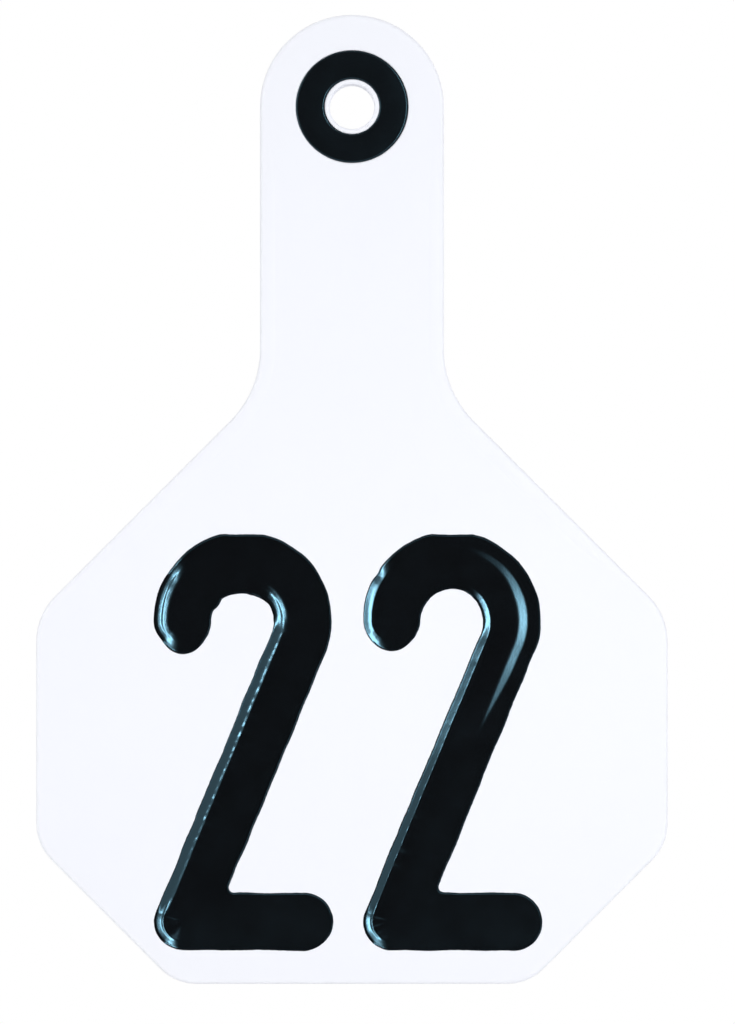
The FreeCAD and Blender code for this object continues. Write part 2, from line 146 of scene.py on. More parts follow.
class Bench:
    """The node tree of one material, or of the world."""

    def __init__(self, owner):
        owner.use_nodes = True
        self.tree = owner.node_tree
        self.tree.nodes.clear()

    def add(self, kind, settings=None, sockets=None):
        node = self.tree.nodes.new(kind)
        for name, value in (settings or {}).items():
            setattr(node, name, value)
        by_key = {}
        for socket in reversed(node.inputs):
            by_key[socket.name] = socket
        by_key.update({socket.identifier: socket for socket in node.inputs})
        for key, value in (sockets or {}).items():
            if isinstance(value, Wire):
                value = value.socket
            if isinstance(value, bpy.types.NodeSocket):
                self.tree.links.new(value, by_key[key])
            else:
                by_key[key].default_value = value
        return node

    def wire(self, kind, output, settings=None, sockets=None):
        return Wire(self, self.add(kind, settings, sockets).outputs[output])

    def mix(self, factor, first, second):
        """A blend of two colours."""
        node = self.add("ShaderNodeMix", {"data_type": "RGBA"},
                        {"Factor_Float": factor, "A_Color": first, "B_Color": second})
        return next(out for out in node.outputs if out.identifier == "Result_Color")

    def ramp(self, value, low, high):
        """0 below low, 1 above high, and a smooth rise between them."""
        return self.wire("ShaderNodeMapRange", "Result", {"interpolation_type": "SMOOTHSTEP"},
                         {"Value": value, "From Min": low, "From Max": high})

    def noise(self, where, size, detail=2.0):
        """Even noise from 0 to 1 with features of about one size, in metres."""
        return self.wire("ShaderNodeTexNoise", "Fac", None,
                         {"Vector": where, "Scale": 1 / size, "Detail": detail})


# %% [markdown]
# ## Light
# A plain white studio. One tall lamp stands to the right of the camera: a bright tube, a
# softer box round it and a dim one round both. Glossy black edges show it as a bright line
# with dim borders. A second soft box on the left, further round, evens out the white panel,
# and the soft lips of the black face away from it. A low strip in front lights the tag from
# below, as a pale table would. The room's own light is dim behind the camera and bright
# behind the tag, and whatever looks straight past the tag sees white.

# %% The room
world = bpy.data.worlds.new("studio")
bpy.context.scene.world = world
room = Bench(world)
CAMERA_SIDE = 0.007
ROOM_SIDE = 0.16
CEILING = 0.45
BEHIND_TAG = 0.75
way = room.add("ShaderNodeTexCoord").outputs["Generated"]
towards = room.add("ShaderNodeSeparateXYZ", None, {"Vector": way})
# depth runs from -1 straight behind the camera to 1 straight behind the tag
depth = Wire(room, towards.outputs["Y"])
height = Wire(room, towards.outputs["Z"])
side_share = room.ramp(depth, -0.9, -0.4)
back_share = room.ramp(depth, -0.1, 0.5)
level = side_share * (ROOM_SIDE - CAMERA_SIDE) + CAMERA_SIDE
level = level + back_share * (BEHIND_TAG - ROOM_SIDE) + room.ramp(height, 0.4, 0.9) * CEILING
path = room.add("ShaderNodeLightPath")
seen = room.wire("ShaderNodeMath", 0, {"operation": "MAXIMUM"},
                 {"Value": path.outputs["Is Camera Ray"],
                  "Value_001": path.outputs["Is Transmission Ray"]})
mirrored_behind = Wire(room, path.outputs["Is Glossy Ray"]) * back_share
seen = room.wire("ShaderNodeMath", 0, {"operation": "MAXIMUM"},
                 {"Value": seen, "Value_001": mirrored_behind})
strength = level + seen * (1 - level)
background = room.add("ShaderNodeBackground", None,
                      {"Color": (1, 1, 1, 1), "Strength": strength})
room.add("ShaderNodeOutputWorld", None, {"Surface": background.outputs[0]})


# %% The lamps
def soft_box(name, azimuth, elevation, distance, width, height, radiance, colour):
    """A rectangular lamp that faces the middle of the tag and looks equally bright all over."""
    data = bpy.data.lights.new(name, "AREA")
    data.shape = "RECTANGLE"
    data.size = width
    data.size_y = height
    data.energy = radiance * width * height * math.pi
    data.color = colour
    lamp = bpy.data.objects.new(name, data)
    turn, lift = math.radians(azimuth), math.radians(elevation)
    way_out = Vector((math.sin(turn) * math.cos(lift),
                      -math.cos(turn) * math.cos(lift), math.sin(lift)))
    lamp.location = view_middle + way_out * distance
    lamp.rotation_euler = way_out.to_track_quat("Z", "Y").to_euler()
    lamp.visible_camera = False
    bpy.context.scene.collection.objects.link(lamp)
    print(name, "radiance", radiance, "power", round(data.energy, 2), "W")


COOL_WHITE = (0.97, 0.985, 1.0)
WHITE = (1.0, 1.0, 1.0)
LAMPS = [
    # name, azimuth and elevation in degrees, distance, width, height, radiance, colour
    ("right_dim_box", 31, 4, 1.5, 0.95, 1.25, 0.25, COOL_WHITE),
    ("right_soft_box", 31, 5, 1.45, 0.45, 1.2, 2.6, COOL_WHITE),
    ("right_tube", 31, 6, 1.4, 0.14, 1.15, 20.0, COOL_WHITE),
    ("left_soft_box", -66, 10, 1.5, 1.2, 1.4, 2.35, WHITE),
    ("floor_bounce", 0, -52, 0.45, 0.5, 0.14, 4.2, WHITE),
]
for lamp_row in LAMPS:
    soft_box(*lamp_row)


# %% The floor
FLOOR_Z = bottom_z - 55 * MM
FLOOR_SIZE = 1.1
FADE_START = FLOOR_SIZE * 0.2
FADE_END = FLOOR_SIZE * 0.46


def make_floor():
    """A pale round table below the tag that fades into the white room at its rim."""
    material = bpy.data.materials.new("pale_table")
    bench = Bench(material)
    where = bench.add("ShaderNodeTexCoord").outputs["Object"]
    radius = bench.add("ShaderNodeVectorMath", {"operation": "LENGTH"}, {"Vector": where})
    fade = bench.ramp(Wire(bench, radius.outputs["Value"]), FADE_START, FADE_END)
    below = Wire(bench, bench.add("ShaderNodeNewGeometry").outputs["Backfacing"])
    clear = bench.wire("ShaderNodeMath", 0, {"operation": "MAXIMUM"},
                       {"Value": fade, "Value_001": below})
    paint = bench.add("ShaderNodeBsdfDiffuse", None, {"Color": (0.9, 0.9, 0.9, 1)})
    gone = bench.add("ShaderNodeBsdfTransparent")
    mixed = bench.add("ShaderNodeMixShader", None,
                      {"Fac": clear, "Shader": paint.outputs[0], "Shader_001": gone.outputs[0]})
    bench.add("ShaderNodeOutputMaterial", None, {"Surface": mixed.outputs[0]})
    half = FLOOR_SIZE / 2
    mesh = bpy.data.meshes.new("floor")
    corners = [(-half, -half, 0), (half, -half, 0), (half, half, 0), (-half, half, 0)]
    mesh.from_pydata(corners, [], [(0, 1, 2, 3)])
    mesh.materials.append(material)
    table = bpy.data.objects.new("floor", mesh)
    table.location = (0, 0, FLOOR_Z)
    bpy.context.scene.collection.objects.link(table)


make_floor()
print("floor at z", round(FLOOR_Z / MM, 1), "mm")


# %% [markdown]
# ## Outlines
# The panel and the numerals are both flat shapes with rounded rims, so both are made the same
# way: walk once round the outline, note at each step the point, the way out of the shape and
# the point that the surface runs in to, and then repeat that loop further and further in.
# A polygon with a radius at each corner is enough for the panel, because a corner whose radius
# is half the neck's width is the round crown.

# %% Walk a polygon with round corners
TOUCHING = 1e-9


def walk_polygon(corners, spacing):
    """Points and outward directions, anticlockwise as seen from the front.

    corners is a list of (x, z, radius). A corner that turns inwards is rounded the other way.
    """
    steps = []
    count = len(corners)
    for index, (x, z, radius) in enumerate(corners):
        here = Vector((x, z))
        before = Vector(corners[index - 1][:2])
        after = Vector(corners[(index + 1) % count][:2])
        way_in, way_out = (here - before).normalized(), (after - here).normalized()
        turn = math.atan2(way_in.cross(way_out), way_in.dot(way_out))
        tangent = radius * math.tan(abs(turn) / 2)
        side = 1 if turn > 0 else -1
        first_out = Vector((way_in.y, -way_in.x))
        centre = here - way_in * tangent - first_out * radius * side
        start = math.atan2(first_out.y * side, first_out.x * side)
        pieces = max(4, math.ceil(abs(turn) * radius / spacing))
        for piece in range(pieces + 1):
            angle = start + turn * piece / pieces
            radial = Vector((math.cos(angle), math.sin(angle)))
            steps.append((centre + radial * radius, radial * side))
    return fill_straights(steps, spacing)


def fill_straights(steps, spacing):
    """Adds even steps along every run that is longer than the spacing."""
    full = []
    for index, (point, out) in enumerate(steps):
        following, _ = steps[(index + 1) % len(steps)]
        run = (following - point).length
        if run < TOUCHING:
            continue
        pieces = max(1, round(run / spacing))
        full += [(point.lerp(following, piece / pieces), out) for piece in range(pieces)]
    return full


# %% [markdown]
# ## Meshes from loops
# Loft collects loops of the same number of points and stitches each one to the next. A flat
# area between loops is filled by a constrained Delaunay triangulation, which keeps the loops'
# own points, so no seam opens between the flat and the rounded parts.

# %% Loft and fill
FILL_TOLERANCE = 1e-7


class Loft:
    """Vertices and faces of one mesh, made loop by loop."""

    def __init__(self):
        self.points = []
        self.faces = []

    def loop(self, points):
        first = len(self.points)
        self.points += [tuple(point) for point in points]
        return list(range(first, first + len(points)))

    def stitch(self, outer, inner):
        """Joins two loops; the face looks at the viewer if outer runs anticlockwise."""
        count = len(outer)
        for index in range(count):
            following = (index + 1) % count
            quad = [outer[index], outer[following], inner[following], inner[index]]
            self.faces.append(list(dict.fromkeys(quad)))

    def fill(self, rim, holes, front=True):
        """Fills the flat area inside the loop rim and outside the loops in holes."""
        loops = [rim] + holes
        used = [index for one in loops for index in one]
        flat = [Vector((self.points[index][0], self.points[index][2])) / MM for index in used]
        edges = []
        start = 0
        for one in loops:
            size = len(one)
            edges += [(start + step, start + (step + 1) % size) for step in range(size)]
            start += size
        result = delaunay_2d_cdt(flat, edges, [], 0, FILL_TOLERANCE)
        found, triangles, origins = result[0], result[2], result[3]
        index_of = [used[origin[0]] for origin in origins]
        outlines = [[flat[step] for step in span] for span in spans(loops)]
        for triangle in triangles:
            middle = sum((found[corner] for corner in triangle), Vector((0, 0))) / 3
            if inside(middle, outlines[0]) and not any(inside(middle, o) for o in outlines[1:]):
                corners = [index_of[corner] for corner in triangle]
                self.faces.append(corners if front else corners[::-1])

    def make(self, name, material):
        """The finished object."""
        mesh = bpy.data.meshes.new(name)
        faces = [face for face in self.faces if len(face) > 2]
        mesh.from_pydata(self.points, [], faces)
        mesh.materials.append(material)
        mesh.update()
        piece = bpy.data.objects.new(name, mesh)
        bpy.context.scene.collection.objects.link(piece)
        print(name, "has", len(mesh.vertices), "points and", len(mesh.polygons), "faces")
        return piece


def spans(loops):
    """For loops laid end to end, the steps that belong to each."""
    start = 0
    for one in loops:
        yield range(start, start + len(one))
        start += len(one)


def inside(point, outline):
    """Whether a point is inside a closed outline, by counting crossings."""
    crossings = 0
    before = outline[-1]
    for after in outline:
        if (before.y > point.y) != (after.y > point.y):
            cut = before.x + (point.y - before.y) / (after.y - before.y) * (after.x - before.x)
            crossings += cut > point.x
        before = after
    return crossings % 2 == 1


# %% [markdown]
# ## White plastic
# The panel is a soft polyurethane, moulded in a finely blasted tool: white with a little blue
# in it, satin rather than glossy, and not quite even. Very fine noise roughens it, a slow
# noise makes the face lie unevenly, and a few faint rubs change only its gloss.

# %% White plastic
def white_plastic():
    """Satin white for the panel, the bead and the hub."""
    material = bpy.data.materials.new("white_moulding")
    bench = Bench(material)
    where = bench.add("ShaderNodeTexCoord").outputs["Object"]
    cloud = bench.noise(where, 14 * MM, 3.0)
    grain = bench.noise(where, 0.35 * MM, 3.0)
    swell = bench.noise(where, 22 * MM, 1.0)
    streaked = bench.add("ShaderNodeMapping", None,
                         {"Vector": where, "Rotation": (0, 0.5, 0), "Scale": (1, 1, 0.06)})
    rub = bench.ramp(bench.noise(streaked.outputs[0], 0.7 * MM, 4.0), 0.6, 0.72)
    colour = bench.mix(cloud, (0.862, 0.87, 0.922, 1), (0.876, 0.883, 0.934, 1))
    height = grain * 0.006 + swell * 0.25
    bump = bench.add("ShaderNodeBump", None,
                     {"Strength": 0.6, "Distance": 1.0 * MM, "Height": height})
    surface = bench.add("ShaderNodeBsdfPrincipled", None, {
        "Base Color": colour,
        "Roughness": 0.44 + grain * 0.1 - rub * 0.12,
        "Specular IOR Level": 0.4,
        "Normal": bump.outputs[0],
    })
    bench.add("ShaderNodeOutputMaterial", None, {"Surface": surface.outputs[0]})
    return material


white = white_plastic()


# %% [markdown]
# ## Black ink
# The numerals are black foil, pressed in hot. The foil is glossy, slightly uneven like lacquer
# over plastic, and so dark that all that shows is what it mirrors. Its gloss is a little blue.

# %% Black ink
GLOSS_TINT = (0.37, 0.77, 1.0, 1)


def black_gloss(name, roughness, shine, grain_size, grain_height):
    """Glossy black with an uneven film on it."""
    material = bpy.data.materials.new(name)
    bench = Bench(material)
    where = bench.add("ShaderNodeTexCoord").outputs["Object"]
    grain = bench.noise(where, grain_size, 3.0)
    patch = bench.noise(where, 3 * MM, 2.0)
    colour = bench.mix(patch, (0.0034, 0.0038, 0.0046, 1), (0.0042, 0.0046, 0.0056, 1))
    bump = bench.add("ShaderNodeBump", None,
                     {"Strength": 1.0, "Distance": grain_height, "Height": grain})
    surface = bench.add("ShaderNodeBsdfPrincipled", None, {
        "Base Color": colour,
        "Roughness": roughness + patch * 0.08,
        "Specular IOR Level": shine,
        "Specular Tint": GLOSS_TINT,
        "Normal": bump.outputs[0],
    })
    bench.add("ShaderNodeOutputMaterial", None, {"Surface": surface.outputs[0]})
    return material


ink = black_gloss("black_ink", 0.1, 1.0, 0.25 * MM, 0.004 * MM)
hard_black = black_gloss("black_insert", 0.2, 0.5, 0.5 * MM, 0.004 * MM)


# %% [markdown]
# ## Numerals
# Each numeral is one stroke of even width, stamped with a heated die: round ends, a round
# lower left corner and a small notch where the leg meets the foot. The stroke has a middle
# line, and each step of the outline belongs to a point on it, so loops drawn from the
# outline to the middle line cover the whole stroke with no gap. The lip where the foil
# goes down into the plastic is broad and soft on the left, and steep on the right.

# %% Sizes of a numeral
STROKE = 6.86 * MM
BOWL = 7.25 * MM
BOWL_FLAT = 0.3 * MM
LEG_SLANT = math.radians(22.5)
NOTCH = 0.7 * MM
FOOT_REACH = 7.4 * MM
NUMERAL_STEP = 0.28 * MM
INK_SPREAD = 0.05 * MM
half_stroke = STROKE / 2
bowl_outer = BOWL + half_stroke


def around(centre, radius, angle):
    """A point on a circle."""
    return centre + Vector((math.cos(angle), math.sin(angle))) * radius


def bowl_centre(low, high):
    """The middle of the bowl of a 2 that fills a box."""
    return Vector((low.x + bowl_outer, high.z + BOWL_FLAT - bowl_outer))


# %% Walk a numeral
TURN_STEPS = 8


def walk_two(low, high):
    """Steps round a 2 that fills a box: point, outward way, middle point, place on the stroke.

    The place runs from 0 at the hook's end to 1 at the toe.
    """
    bowl = bowl_centre(low, high)
    toe = Vector((high.x - half_stroke, low.z + half_stroke))
    if toe.x < bowl.x:
        raise ValueError("the numeral's box is too narrow")
    toe.x = min(toe.x, bowl.x + FOOT_REACH)
    along = Vector((math.sin(LEG_SLANT), math.cos(LEG_SLANT)))
    across = Vector((math.cos(LEG_SLANT), -math.sin(LEG_SLANT)))
    leg_top = bowl + across * BOWL
    leg_length = (leg_top.y - toe.y) / along.y
    heel = leg_top - along * leg_length
    foot_length = toe.x - heel.x
    half_angle = (math.pi / 2 - LEG_SLANT) / 2
    reach = half_stroke / math.tan(half_angle)
    clear = reach + NOTCH / math.tan(half_angle)
    corner = heel + across * half_stroke + along * reach
    notch_centre = corner + Vector((NOTCH / math.tan(half_angle), NOTCH))
    bowl_sweep = math.pi + LEG_SLANT
    bowl_length = bowl_sweep * BOWL
    whole = bowl_length + leg_length + foot_length

    def split(length):
        return max(2, round(length / NUMERAL_STEP))

    bowl_angles = [math.pi - bowl_sweep * k / split(bowl_length)
                   for k in range(split(bowl_length) + 1)]
    straight = leg_length - clear
    leg_runs = [straight * k / split(straight) for k in range(1, split(straight) + 1)]
    leg_turn = [straight + clear * k / TURN_STEPS for k in range(1, TURN_STEPS)]
    foot_turn = [clear * k / TURN_STEPS for k in range(1, TURN_STEPS + 1)]
    rest = foot_length - clear
    foot_runs = [clear + rest * k / split(rest) for k in range(1, split(rest))]

    steps = []

    def note(point, out, middle, place):
        steps.append((point, out, middle, place / whole))

    hook = bowl - Vector((BOWL, 0))
    caps = split(math.pi * half_stroke)
    for k in range(caps):
        angle = math.pi + math.pi * k / caps
        note(around(hook, half_stroke, angle), around(Vector((0, 0)), 1, angle), hook, 0)
    for angle in bowl_angles:
        radial = around(Vector((0, 0)), 1, angle)
        place = (math.pi - angle) * BOWL
        note(bowl + radial * (BOWL - half_stroke), -radial, bowl + radial * BOWL, place)
    for run in leg_runs + leg_turn:
        middle = leg_top - along * run
        note(middle - across * half_stroke, -across, middle, bowl_length + run)
    fan = split(half_stroke * (math.pi / 2 + LEG_SLANT))
    for k in range(fan + 1):
        angle = math.pi - LEG_SLANT + (math.pi / 2 + LEG_SLANT) * k / fan
        note(around(heel, half_stroke, angle), around(Vector((0, 0)), 1, angle), heel,
             bowl_length + leg_length)
    down = Vector((0, -1))
    for run in foot_turn + foot_runs:
        middle = heel + Vector((run, 0))
        note(middle + down * half_stroke, down, middle, bowl_length + leg_length + run)
    for k in range(caps + 1):
        angle = -math.pi / 2 + math.pi * k / caps
        note(around(toe, half_stroke, angle), around(Vector((0, 0)), 1, angle), toe, whole)
    for run in reversed(foot_runs):
        middle = heel + Vector((run, 0))
        note(middle - down * half_stroke, -down, middle, bowl_length + leg_length + run)
    inner_runs = [("foot", run) for run in reversed(foot_turn)] + [("leg", leg_length)]
    inner_runs += [("leg", run) for run in reversed(leg_turn)] + [("leg", straight)]
    for k, (part, run) in enumerate(inner_runs):
        angle = 1.5 * math.pi - (math.pi / 2 + LEG_SLANT) * k / (len(inner_runs) - 1)
        point = around(notch_centre, NOTCH, angle)
        out = (notch_centre - point).normalized()
        if part == "foot":
            middle, place = heel + Vector((run, 0)), bowl_length + leg_length + run
        else:
            middle, place = leg_top - along * run, bowl_length + run
        note(point, out, middle, place)
    for run in reversed(leg_runs[:-1]):
        middle = leg_top - along * run
        note(middle + across * half_stroke, across, middle, bowl_length + run)
    for angle in reversed(bowl_angles[1:]):
        radial = around(Vector((0, 0)), 1, angle)
        radius = bowl_outer
        if radial.y > 0:
            radius = min(radius, (high.z - bowl.y) / radial.y)
        place = (math.pi - angle) * BOWL
        note(bowl + radial * radius, radial, bowl + radial * BOWL, place)
    return steps


for name, (low, high) in numeral_boxes.items():
    found = walk_two(low, high)
    print(name, "outline has", len(found), "steps")


# %% [markdown]
# The surface of a stroke is described by how far it tips. Going in from the edge, a narrow
# margin of foil lies level, then the lip tips over, runs down and levels out again. Adding up
# the tilt gives the depth. A mirror that is tipped by half the lamp's angle shows the lamp, so
# the tilt decides what is seen: a soft lip shows the tube twice, once where it tips over and
# once where it levels out, and a steeper one shows it as a thin line along its foot.

# %% Depth from tilt
FINE = 0.01
LIP_REACH = 2.1


def eased(value, low, high):
    """0 below low, 1 above high, smooth between; low may be the larger one."""
    share = min(1.0, max(0.0, (value - low) / (high - low)))
    return share * share * (3 - 2 * share)


def between(table, place):
    """A value read off a list of (place, value) with smooth steps."""
    for (start, first), (stop, second) in zip(table, table[1:]):
        if place <= stop:
            return first + (second - first) * eased(place, start, stop)
    return table[-1][1]


def dig(tilts):
    """Depths in mm, one every FINE mm, of a section given as (inset in mm, tilt in degrees)."""
    depths = [0.0]
    for step in range(round(LIP_REACH / FINE)):
        tilt = between(tilts, (step + 0.5) * FINE)
        depths.append(depths[-1] + math.tan(math.radians(tilt)) * FINE)
    return depths


def read(depths, inset):
    """The depth at one inset in mm."""
    step = max(0.0, inset / FINE)
    before = int(step)
    if before >= len(depths) - 1:
        return depths[-1]
    return depths[before] + (depths[before + 1] - depths[before]) * (step - before)


# %% Sections of the lip
STEEP = dig([(0, 0), (0.02, 0), (0.07, 60), (0.12, 60), (0.2, 0)])
TWIN = dig([(0, 0), (0.1, 1), (0.38, 8), (0.54, 14.8), (0.76, 16.2), (0.95, 24),
            (1.14, 16.4), (1.42, 14.6), (1.62, 7), (1.9, 0)])
LEG = dig([(0, 0), (0.04, 1), (0.16, 30), (0.42, 31), (0.72, 24), (0.92, 22),
           (1.02, 16.6), (1.2, 14.6), (1.3, 0)])
HEEL = dig([(0, 0), (0.22, 4), (0.34, 14.4), (0.74, 16.2), (0.86, 25), (0.96, 25), (1.1, 0)])
HOOK_BAND = dig([(0, 0), (0.06, 2), (0.16, 19), (0.5, 18.5), (0.68, 16.2), (0.98, 14.8),
                 (1.1, 0)])
BOWL_BAND = dig([(0, 0), (0.18, 4), (0.36, 14.4), (0.78, 16.2), (1.0, 0)])
LEG_BAND = dig([(0, 0), (0.1, 1), (0.18, 19), (0.5, 19.5), (0.9, 18.5), (0.98, 0)])
FOOT_BAND = dig([(0, 0), (0.1, 1), (0.18, 24), (0.5, 27), (0.9, 24), (0.98, 0)])
for label, section in (("twin", TWIN), ("leg", LEG), ("hook band", HOOK_BAND)):
    print(label, "lip is", round(section[-1], 2), "mm deep")


# %% Surface of a numeral
INSETS = [0, 0.04, 0.08, 0.12, 0.16, 0.2, 0.26, 0.32, 0.38, 0.44, 0.5, 0.56, 0.62, 0.68, 0.74,
          0.8, 0.86, 0.92, 0.98, 1.04, 1.1, 1.16, 1.22, 1.28, 1.34, 1.42, 1.52, 1.64, 1.78,
          1.92, 2.08, 2.26, 2.44, 2.62, 2.8, 3.0]
LAMP_TURN = math.radians(7)
LAMP_WAY = Vector((math.cos(LAMP_TURN), math.sin(LAMP_TURN)))
RIDGE_SLOPE = 0.192
NO_RIDGE = 0.0001
PROUD = 0.03 * MM
# outward ways in degrees between which the lip softens, above and below
SOFT_TOP = (133, 150)
SOFT_FOOT = (264, 222)
# each band is (start, stop) in mm in from the edge
FLUTTER_BAND = (1.3, 3.0)
LEVEL_BAND = (1.2, 3.4)
INNER_RIDGE = (1.25, 3.43)
FLUTTER_PER_MM = 1.7


def lip_depth(form, place, inset):
    """Depth of the soft lip, blended between the sections named along the stroke."""
    lips = form["lips"]
    for (start, first), (stop, second) in zip(lips, lips[1:]):
        if place <= stop:
            share = eased(place, start, stop)
            return read(first, inset) * (1 - share) + read(second, inset) * share
    return read(lips[-1][1], inset)


def softness(out):
    """1 where the lip is broad and soft, on the left of the stroke, and 0 where it is steep."""
    angle = math.degrees(math.atan2(out.y, out.x)) % 360
    return eased(angle, *SOFT_TOP) * eased(angle, *SOFT_FOOT)


def ramped(inset, start, stop):
    """0 before start, 1 after stop, and an even slope with rounded ends between."""
    share = min(1.0, max(0.0, (inset - start) / (stop - start)))
    bend = 0.15
    if share < bend:
        return share * share / (2 * bend * (1 - bend))
    if share > 1 - bend:
        return 1 - (1 - share) ** 2 / (2 * bend * (1 - bend))
    return (share - bend / 2) / (1 - bend)


def ridge_height(form, place):
    """How far the middle of the stroke is raised again above its floor."""
    return RIDGE_SLOPE * (between(form["ridge_stop"], place) - between(form["ridge_start"], place))


def numeral_depth(form, point, out, place, inset):
    """How deep the foil lies at one inset (in mm) from the edge."""
    soft = softness(out)
    floor = between(form["floor"], place)
    spot = Vector((point.x / MM, form["seed"], point.y / MM))
    flutter = noise.noise(spot * FLUTTER_PER_MM)
    flutter *= form["flutter"] * (1 - eased(inset, *FLUTTER_BAND))
    depth = read(STEEP, inset) / STEEP[-1] * floor * (1 - soft)
    left_over = (floor - lip_depth(form, place, LIP_REACH)) * eased(inset, *LEVEL_BAND)
    depth += (lip_depth(form, place, inset) * (1 + flutter) + left_over) * soft
    outer = eased(out.dot(LAMP_WAY), -0.2, 0.2)
    start, stop = between(form["ridge_start"], place), between(form["ridge_stop"], place)
    rise = ramped(inset, start, stop) * outer + ramped(inset, *INNER_RIDGE) * (1 - outer)
    return depth - ridge_height(form, place) * rise


# %% Edge of a numeral
EDGE_BAND = 1.3
SPREAD_BAND = 1.4
SKIRT = 0.03 * MM
UNDER_GAP = 0.02 * MM
TUCK = 0.1 * MM


def ragged(point, seed, rough):
    """How far the ink's edge strays outwards at a point, in mm."""
    spot = Vector((point.x / MM, seed, point.y / MM))
    slow = noise.noise(spot * 0.3)
    quick = noise.noise(spot * 1.9 + Vector((7, 0, 3)))
    return rough * (0.14 * slow + 0.035 * quick)


def numeral_outline(name, form):
    """The walk round one numeral, with how far its edge strays added to each step."""
    steps = []
    for point, out, middle, place in walk_two(*numeral_boxes[name]):
        stray = ragged(point, form["seed"], form["rough"]) * MM + form["stray"](point)
        steps.append((point, out, middle, place, stray))
    return steps


def make_numeral(name, form):
    """One stamped numeral as a closed shell: foil on top, a plain underside in the recess."""
    high = numeral_boxes[name][1]
    steps = outlines[name]
    loft = Loft()
    loops = []
    for inset in INSETS:
        points = []
        for point, out, middle, place, stray in steps:
            depth = numeral_depth(form, point, out, place, inset) * MM
            spread = stray + INK_SPREAD
            if inset <= EDGE_BAND:
                spot = point + out * (spread * (1 - inset / SPREAD_BAND) - inset * MM)
            else:
                share = (inset - EDGE_BAND) / (half_stroke / MM - EDGE_BAND)
                left = spread * (1 - EDGE_BAND / SPREAD_BAND)
                spot = (point + out * (left - EDGE_BAND * MM)).lerp(middle, share)
            points.append((spot.x, face_y - PROUD + depth, spot.y))
        loops.append(loft.loop(points))
    middles = {}
    centre_loop = []
    for _, out, middle, place, _ in steps:
        key = (round(middle.x, 8), round(middle.y, 8))
        if key not in middles:
            depth = between(form["floor"], place) - ridge_height(form, place)
            spot = (middle.x, face_y - PROUD + depth * MM, middle.y)
            middles[key] = loft.loop([spot])[0]
        centre_loop.append(middles[key])
    for outer, inner in zip(loops, loops[1:]):
        loft.stitch(outer, inner)
    loft.stitch(loops[-1], centre_loop)

    under_y = high.y - UNDER_GAP
    skirt = loft.loop([(loft.points[i][0], face_y + SKIRT, loft.points[i][2])
                       for i in loops[0]])
    loft.stitch(skirt, loops[0])
    spots = [point + out * (stray - TUCK) for point, out, _, _, stray in steps]
    tucked = loft.loop([(spot.x, under_y, spot.y) for spot in spots])
    loft.stitch(tucked, skirt)
    unders = {}
    under_loop = []
    for top in centre_loop:
        if top not in unders:
            x, _, z = loft.points[top]
            unders[top] = loft.loop([(x, under_y, z)])[0]
        under_loop.append(unders[top])
    loft.stitch(under_loop, tucked)
    return loft.make(name + "_ink", ink)


# %% Form of each numeral
def bump_at(point, centre, amount, reach):
    """A local bulge of the edge: amount at its centre and nothing beyond reach."""
    return amount * eased((point - centre).length, reach, reach * 0.1)


def left_stray(point):
    """The left hook runs down further, its bowl has a nick, and its arch is thicker."""
    bowl = bowl_centre(*numeral_boxes["numeral_left"])
    sag = bump_at(point, bowl - Vector((BOWL, half_stroke)), 0.5 * MM, 3.2 * MM)
    nick = bump_at(point, bowl + Vector((-3.0, 1.9)) * MM, 0.34 * MM, 1.1 * MM)
    arch = bump_at(point, bowl + Vector((0.4, 3.8)) * MM, 0.6 * MM, 4.2 * MM)
    return sag + nick + arch


def right_stray(point):
    """The right hook runs down a little and has a nick in its side."""
    bowl = bowl_centre(*numeral_boxes["numeral_right"])
    sag = bump_at(point, bowl - Vector((BOWL, half_stroke)), 0.2 * MM, 2.6 * MM)
    nick = bump_at(point, bowl + Vector((-8.9, 5.6)) * MM, -0.16 * MM, 1.0 * MM)
    return sag + nick


left_form = {
    "seed": 3.0, "rough": 1.0, "stray": left_stray, "flutter": 0.07,
    "lips": [(0, TWIN), (0.27, TWIN), (0.35, LEG), (0.795, LEG), (0.807, HEEL), (1, HEEL)],
    "floor": [(0, 0.42), (0.3, 0.42), (0.4, 0.5), (0.65, 0.5), (0.95, 0.34), (1, 0.34)],
    "ridge_start": [(0, 1.5), (1, 1.5)],
    "ridge_stop": [(0, 1.5 + NO_RIDGE), (1, 1.5 + NO_RIDGE)],
}
right_form = {
    "seed": 11.0, "rough": 1.1, "stray": right_stray, "flutter": 0.09,
    "lips": [(0, HOOK_BAND), (0.12, HOOK_BAND), (0.2, BOWL_BAND), (0.29, BOWL_BAND),
             (0.36, LEG_BAND), (0.5, LEG_BAND), (0.7, FOOT_BAND), (0.795, FOOT_BAND),
             (0.807, HEEL), (1, HEEL)],
    "floor": [(0, 0.32), (1, 0.32)],
    "ridge_start": [(0, 1.5), (0.13, 1.5), (0.3, 1.35), (0.36, 1.45), (0.5, 2.5), (1, 2.5)],
    "ridge_stop": [(0, 1.5 + NO_RIDGE), (0.12, 1.5 + NO_RIDGE), (0.2, 2.4), (0.27, 2.8),
                   (0.36, 2.8), (0.52, 2.5 + NO_RIDGE), (1, 2.5 + NO_RIDGE)],
}
forms = {"numeral_left": left_form, "numeral_right": right_form}
outlines = {name: numeral_outline(name, form) for name, form in forms.items()}
numerals = {name: make_numeral(name, form) for name, form in forms.items()}


# %% [markdown]
# ## Panel
# The panel, its neck and its hub are one moulding. Seen from the front it is an outline with
# holes: two recesses that the numerals fill and a seat for the ring. So the loops run round
# the rim first, the flats are filled between them, and the hub is turned from its section.

